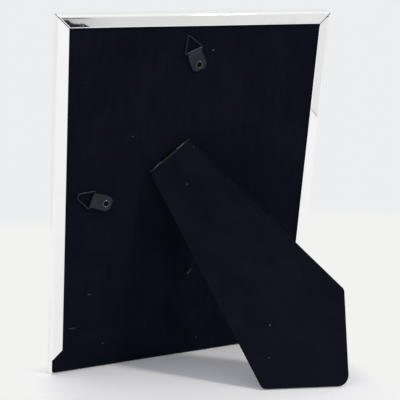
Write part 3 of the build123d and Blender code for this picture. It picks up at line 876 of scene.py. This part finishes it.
class EASEL_OT_back_panel(Operator):
    """Covers the sliding back in velvet and finishes its board and lining"""

    bl_idname = "easel_frame.back_panel"
    bl_label = "Back panel"

    def execute(self, context):
        settings = context.scene.easel_frame
        tints = (settings.velvet.pile, settings.velvet.nap)
        name = "Black velvet of the back"
        velvet = velvet_finish(settings.velvet, name, BACK_TURN, BACK_PATCHES, *tints)
        cover = napped("panel_velvet", "panel_velvet_cover", velvet, BACK_TURN, Vector(), settings.velvet)
        low, high = reach("panel_velvet", BACK_TURN, Vector())
        boards = settings.boards
        painted("panel_board", fibre_finish("Back board", boards.board))
        painted("panel_lining", fibre_finish("Lining paper", boards.lining))
        return {"FINISHED"}


class EASEL_OT_strut(Operator):
    """Covers both faces of the strut in velvet and finishes its board"""

    bl_idname = "easel_frame.strut"
    bl_label = "Strut"

    def execute(self, context):
        settings = context.scene.easel_frame
        tints = (settings.velvet.strut_pile, settings.velvet.strut_nap)
        low, high = reach("strut_velvet_outer", STRUT_TURN, Vector())
        # The strut's velvet grows paler from its hinge down to its foot
        paling = (high.y, low.y)
        name = "Black velvet of the strut"
        velvet = velvet_finish(settings.velvet, name, STRUT_TURN, STRUT_PATCHES, *tints, paling)
        for node in ("strut_velvet_outer", "strut_velvet_inner"):
            cover = napped(node, f"{node}_cover", velvet, STRUT_TURN, HINGE_AT, settings.velvet)
            low, high = reach(node, STRUT_TURN, HINGE_AT)
        painted("strut_board", fibre_finish("Strut board", settings.boards.board))
        return {"FINISHED"}


class EASEL_OT_hinge(Operator):
    """Finishes the hinge's leaves, pin and rivets, and the eyelets' washers"""

    bl_idname = "easel_frame.hinge"
    bl_label = "Hinge"

    def execute(self, context):
        settings = context.scene.easel_frame.metal
        # A paler copy of the steel for the panel's leaf: painted highlight, for brighter glints on its
        # knuckles
        painted("panel_hinge_leaf", steel_finish("Hinge steel lifted for glints", settings.hinge_glint_lift))
        steel = steel_finish("Blackened hinge steel", settings.hinge)
        for node in ("strut_hinge_leaf", "hinge_pin", "panel_leaf_rivets", "strut_leaf_rivets"):
            painted(node, steel)
        for side in HANGER_SIDES:
            painted(f"{side}_eyelet_washer", steel)
        return {"FINISHED"}


class EASEL_OT_hangers(Operator):
    """Makes the hangers' straps and finishes their eyelets and rings"""

    bl_idname = "easel_frame.hangers"
    bl_label = "Hangers"

    def execute(self, context):
        settings = context.scene.easel_frame.metal
        black = hanger_finish(settings, "Blackened hanger steel", settings.hanger, HANGER_ROUGHNESS)
        name = "Black nickel of the eyelets"
        nickel = hanger_finish(settings, name, settings.eyelet, EYELET_ROUGHNESS)
        for side in HANGER_SIDES:
            eased(f"{side}_hanger_tab", black, settings.hanger_ease)
            painted(f"{side}_hanger_ring", black)
            painted(f"{side}_eyelet", nickel)
        return {"FINISHED"}


class EASEL_OT_lint(Operator):
    """Scatters the lint and loose fibres that lie on the velvet"""

    bl_idname = "easel_frame.lint"
    bl_label = "Lint"

    def execute(self, context):
        settings = context.scene.easel_frame.lint
        grey = lint_finish(settings)
        low, high = reach("panel_velvet", BACK_TURN, Vector())
        first, step = PANEL_SEEDS
        bm = bmesh.new()
        for index, (right, up, size) in enumerate(PANEL_SPECKS):
            place = BACK_TURN @ Vector((low.x + right * MM, low.y + up * MM, high.z))
            speck(bm, place, BACK_TURN, size * MM, first + step * index)
        for bends in PANEL_FIBRES:
            bends = [BACK_TURN @ Vector((low.x + x * MM, low.y + y * MM, high.z)) for x, y in bends]
            strand(bm, interpolate_bezier(*bends, FIBRE_STEPS), BACK_TURN, settings.fibre_radius)
        shown(bm, "panel_lint", "back_panel", grey, "velvet")
        low, high = reach("strut_velvet_outer", STRUT_TURN, HINGE_AT)
        first, step = STRUT_SEEDS
        bm = bmesh.new()
        for index, (along, down, size) in enumerate(STRUT_SPECKS):
            place = HINGE_AT + STRUT_TURN @ Vector((along * MM, -down * MM, high.z))
            speck(bm, place, STRUT_TURN, size * MM, first + step * index)
        shown(bm, "strut_lint", "strut", grey, "velvet")
        return {"FINISHED"}


def beyond(tree, value, low, high, slope=1.0):
    """How far a value lies outside a span; past the high end it counts by a slope."""
    past_high = calc(tree, "MULTIPLY", calc(tree, "SUBTRACT", value, high), slope)
    return calc(tree, "MAXIMUM", calc(tree, "MAXIMUM", calc(tree, "SUBTRACT", low, value), past_high), 0.0)


def floor_finish(settings):
    """A pale floor that keeps the shadow under the frame, and isn't there from below.

    Away from the frame it is as clear as the camera sees it, and it fades into the backdrop far off.
    """
    material = bpy.data.materials.new("Pale floor")
    tree = emptied(material)
    geometry = add(tree, "ShaderNodeNewGeometry").outputs
    ray = add(tree, "ShaderNodeLightPath").outputs
    place = add(tree, "ShaderNodeSeparateXYZ", {0: geometry["Position"]}).outputs
    aside = beyond(tree, place["X"], *MATT_ACROSS)
    ahead = beyond(tree, place["Y"], *MATT_ALONG, MATT_SLOPE)
    squares = [calc(tree, "POWER", gap, 2.0) for gap in (aside, ahead)]
    outside = calc(tree, "SQRT", calc(tree, "ADD", *squares))
    looked_at = calc(tree, "MAXIMUM", ray["Is Camera Ray"], ray["Is Transmission Ray"])
    clearing = calc(tree, "MULTIPLY", spread(tree, outside, 0.0, CLEARING), looked_at)
    mirrored = calc(tree, "MULTIPLY", ray["Is Glossy Ray"], GLEAM_SHARE)
    away = add(tree, "ShaderNodeVectorMath", {0: geometry["Position"]}, operation="LENGTH").outputs["Value"]
    seen = add(tree, "ShaderNodeBsdfDiffuse", {"Color": settings.floor}).outputs[0]
    seen = layered(tree, clearing, seen, glowing(tree, settings.clear_floor))
    seen = layered(tree, mirrored, seen, glowing(tree, settings.gleam))
    seen = layered(tree, spread(tree, away, *FLOOR_FADE), seen, glowing(tree, settings.backdrop))
    nothing = add(tree, "ShaderNodeBsdfTransparent").outputs[0]
    seen = layered(tree, geometry["Backfacing"], seen, nothing)
    add(tree, "ShaderNodeOutputMaterial", {"Surface": seen})
    return material


def card_finish(settings):
    """Glowing grey card, seen only in reflections: painted dark at one end along its near edge and far line,
    and along its wing's edge.
    """
    material = bpy.data.materials.new("Grey card")
    tree = emptied(material)
    place = add(tree, "ShaderNodeTexCoord").outputs["Object"]
    axes = add(tree, "ShaderNodeSeparateXYZ", {0: place}).outputs
    from_end = calc(tree, "MULTIPLY", axes["X"], -1.0)
    along = calc(tree, "SUBTRACT", from_end, calc(tree, "MULTIPLY", axes["Y"], CARD_SLANT))
    along = calc(tree, "DIVIDE", along, calc(tree, "ADD", axes["Y"], FAN_LENGTH))
    # Painted reflections: a dark patch and a dark line that the top lip mirrors, and a dark border along the
    # wing that the right rail's lip mirrors
    ragged = spread(tree, grain(tree, place, RAG_SCALE, 2.0), 0.3, 0.7, -RAG, RAG)
    limit = calc(tree, "ADD", spread(tree, along, *REFLECTED_PATCH_TAPER), ragged)
    limit = calc(tree, "ADD", limit, spread(tree, along, *REFLECTED_PATCH_END))
    on_wing = spread(tree, axes["Y"], *WING_LEVELS)
    reflected_patch = spread(tree, calc(tree, "SUBTRACT", axes["Y"], limit), REFLECTED_PATCH_BLUR, -REFLECTED_PATCH_BLUR)
    reflected_patch = calc(tree, "SUBTRACT", reflected_patch, on_wing)
    line = calc(tree, "MULTIPLY", spread(tree, axes["Y"], *LINE_LEVELS), spread(tree, along, *LINE_REACH))
    wing_start = calc(tree, "SUBTRACT", from_end, settings.card_edge)
    border = calc(tree, "MULTIPLY", spread(tree, wing_start, *BORDER_REACH), on_wing)
    border = calc(tree, "MULTIPLY", border, BORDER_SHARE)
    dark = calc(tree, "MAXIMUM", reflected_patch, calc(tree, "MAXIMUM", line, border))
    near_shade, far_shade = [spread(tree, along, *shade) for shade in CARD_SHADES]
    grey = mixed(tree, calc(tree, "ADD", near_shade, far_shade), BLACK, settings.card_pale)
    glow = glowing(tree, mixed(tree, dark, grey, settings.card_dark))
    add(tree, "ShaderNodeOutputMaterial", {"Surface": glow})
    return material


def staged(name, bm, finish):
    """A piece of the stage."""
    made = formed(bm, name, finish)
    return made


def backdrop_world(settings):
    """Even light all round, and a pale backdrop, whiter overhead, where it is looked at or reflected.

    Only reflections show the grey far wall.
    """
    world = bpy.data.worlds.new("Pale studio")
    tree = emptied(world)
    ray = add(tree, "ShaderNodeLightPath").outputs
    looked_at = calc(tree, "MAXIMUM", ray["Is Camera Ray"], ray["Is Glossy Ray"])
    looked_at = calc(tree, "MAXIMUM", looked_at, ray["Is Transmission Ray"])
    light = {"Color": settings.sky, "Strength": settings.ambient}
    light = add(tree, "ShaderNodeBackground", light).outputs[0]
    towards = add(tree, "ShaderNodeTexCoord").outputs["Generated"]
    axes = add(tree, "ShaderNodeSeparateXYZ", {0: towards}).outputs
    overhead = spread(tree, axes["Z"], *WHITE_UP)
    overhead = calc(tree, "MULTIPLY", overhead, spread(tree, axes["Y"], *WHITE_ALONG))
    pale = mixed(tree, overhead, settings.backdrop, WHITE)
    level = calc(tree, "ABSOLUTE", calc(tree, "SUBTRACT", axes["Z"], settings.wall_level))
    wall = spread(tree, level, settings.wall_reach, WALL_CORE)
    wall = calc(tree, "MULTIPLY", wall, spread(tree, axes["Y"], *WALL_ALONG))
    wall = calc(tree, "MULTIPLY", wall, ray["Is Glossy Ray"])
    pale = mixed(tree, wall, pale, settings.far_wall)
    drop = add(tree, "ShaderNodeBackground", {"Color": pale, "Strength": 1.0}).outputs[0]
    add(tree, "ShaderNodeOutputWorld", {"Surface": layered(tree, looked_at, light, drop)})
    return world


def soft_lamp(name, power, tint, width, depth, place, target):
    """A soft lamp that points at a target and isn't seen itself."""
    lamp = bpy.data.lights.new(name, "AREA")
    lamp.energy = power
    lamp.color = tint[:3]
    lamp.shape = "RECTANGLE"
    lamp.size = width
    lamp.size_y = depth
    made = bpy.data.objects.new(name, lamp)
    made.location = place
    made.rotation_euler = (Vector(target) - Vector(place)).to_track_quat("-Z", "Y").to_euler()
    made.visible_camera = False
    bpy.context.scene.collection.objects.link(made)
    return made


class EASEL_OT_stage(Operator):
    """Sets up the floor, the backdrop, the lamps and the camera"""

    bl_idname = "easel_frame.stage"
    bl_label = "Stage"

    def execute(self, context):
        scene = context.scene
        settings = scene.easel_frame.stage
        bm = bmesh.new()
        bmesh.ops.create_grid(bm, x_segments=FLOOR_CELLS, y_segments=FLOOR_CELLS, size=FLOOR_REACH)
        staged("floor", bm, floor_finish(settings))
        # A grey card that glows only for reflections: it paints dark reflections on the top lip and the
        # right rail's lip
        bm = bmesh.new()
        near, far, wing = -settings.card_near, settings.card_depth, -settings.card_wing
        left, right, edge = -settings.card_width, CARD_PAST, -settings.card_edge
        outline = (
            (left, near),
            (edge - WING_ROOT, near),
            (edge - WING_TIP, wing),
            (edge, wing),
            (edge, near),
            (right, near),
            (right - CARD_SLANT * far, far),
            (left - far, far),
        )
        bm.faces.new([bm.verts.new((*corner, 0)) for corner in outline])
        card = staged("mirrored_card", bm, card_finish(settings))
        card.location = settings.card_place
        card.visible_camera = card.visible_diffuse = card.visible_shadow = card.visible_transmission = False
        scene.world = backdrop_world(settings)
        size = settings.key_size
        key = (settings.key_power, settings.key_tint, size, size, settings.key_place)
        soft_lamp("key_lamp", *key, KEY_AIM)
        place = Vector(settings.top_place)
        top = (settings.top_power, settings.sky, settings.top_width, settings.top_depth, place)
        lamp = soft_lamp("top_lamp", *top, place - Vector((0, 0, 1)))
        lamp.visible_diffuse = False
        camera = bpy.data.objects.new("camera", bpy.data.cameras.new("camera"))
        camera.location = settings.camera_place
        camera.rotation_euler = settings.camera_turn
        camera.data.lens = settings.lens
        camera.data.sensor_width = SENSOR_WIDTH
        camera.data.shift_x, camera.data.shift_y = settings.shift
        camera.data.clip_start = CLIP_START
        scene.collection.objects.link(camera)
        scene.camera = camera
        scene.view_settings.view_transform = "Standard"
        return {"FINISHED"}


class EASEL_PT_frame(Panel):
    """Lists the operators that dress the photo frame"""

    bl_label = "Photo frame"
    bl_idname = "EASEL_PT_frame"
    bl_space_type = "VIEW_3D"
    bl_region_type = "UI"
    bl_category = "Photo frame"

    def draw(self, context):
        for operator in OPERATORS:
            self.layout.operator(operator.bl_idname)


OPERATORS = (
    EASEL_OT_rails,
    EASEL_OT_pack,
    EASEL_OT_back_panel,
    EASEL_OT_strut,
    EASEL_OT_hinge,
    EASEL_OT_hangers,
    EASEL_OT_lint,
    EASEL_OT_stage,
)
CLASSES = (
    RailSettings,
    VelvetSettings,
    BoardSettings,
    MetalSettings,
    LintSettings,
    StageSettings,
    EaselFrameSettings,
    *OPERATORS,
    EASEL_PT_frame,
)


def register():
    """Registers the classes, and gives the scene its settings."""
    for one in CLASSES:
        bpy.utils.register_class(one)
    bpy.types.Scene.easel_frame = PointerProperty(type=EaselFrameSettings)


def unregister():
    """Takes the settings and the classes away again."""
    del bpy.types.Scene.easel_frame
    for one in reversed(CLASSES):
        bpy.utils.unregister_class(one)


def main():
    register()
    for thing in list(bpy.context.scene.objects):
        if thing.name in STARTUP_OBJECTS:
            bpy.data.objects.remove(thing)
    bpy.ops.easel_frame.rails()
    bpy.ops.easel_frame.pack()
    bpy.ops.easel_frame.back_panel()
    bpy.ops.easel_frame.strut()
    bpy.ops.easel_frame.hinge()
    bpy.ops.easel_frame.hangers()
    bpy.ops.easel_frame.lint()
    bpy.ops.easel_frame.stage()


if __name__ == "__main__":
    main()
